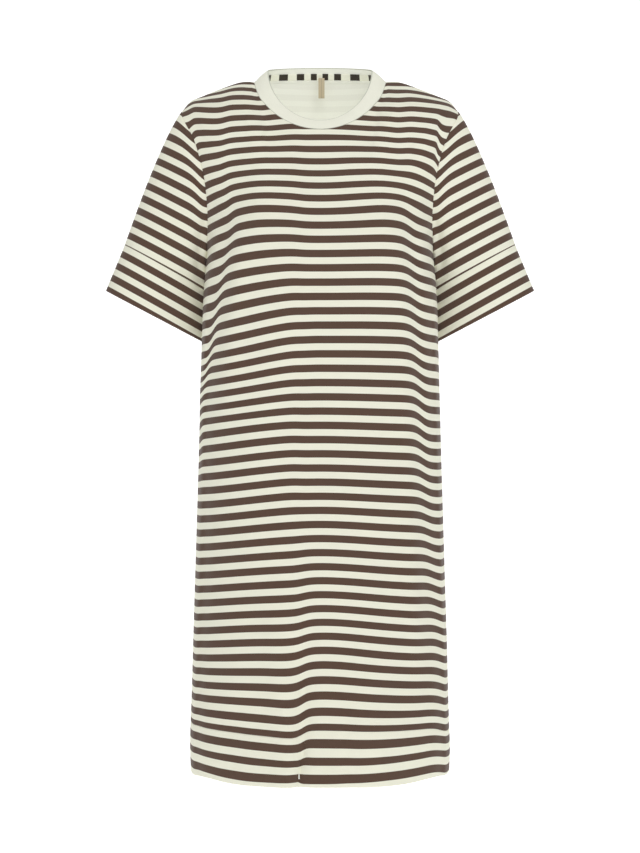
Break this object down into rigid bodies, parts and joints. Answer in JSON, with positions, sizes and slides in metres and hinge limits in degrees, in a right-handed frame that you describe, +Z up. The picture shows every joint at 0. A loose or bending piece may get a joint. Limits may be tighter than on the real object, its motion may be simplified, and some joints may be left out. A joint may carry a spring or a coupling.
{
  "type": "striped jersey t-shirt dress",
  "caption": "Knee-length straight jersey dress with round ribbed neck, short set-in sleeves with deep cuffs and horizontal stripes, filled out hollow as worn",
  "frame": {"origin": "middle of the neck opening at the height of the shoulder seams' neck ends, where the wearer's shoulders hold the dress", "axes": "+Z up along the dress, +X to the right of the picture (the wearer's left), the front faces -Y"},
  "size_m": [0.6266, 0.2467, 1.038],
  "materials": {
    "striped_jersey": "matte fine cotton jersey, cream with brown horizontal stripes, one stripe pair every 20 mm",
    "neck_rib": "matte fine cream rib knit",
    "neck_tape": "the striped jersey cut as a narrow tape, stripes across it",
    "label": "plain tan woven tape, blank"
  },
  "bodies": {
    "root": {"front": "striped_jersey", "back": "striped_jersey", "hem_band_front": "striped_jersey", "hem_band_back": "striped_jersey", "sleeve_left": "striped_jersey", "sleeve_right": "striped_jersey", "cuff_left": "striped_jersey", "cuff_right": "striped_jersey", "neck_rib": "neck_rib", "neck_tape": "neck_tape", "label_loop": "label"}
  },
  "joints": []
}
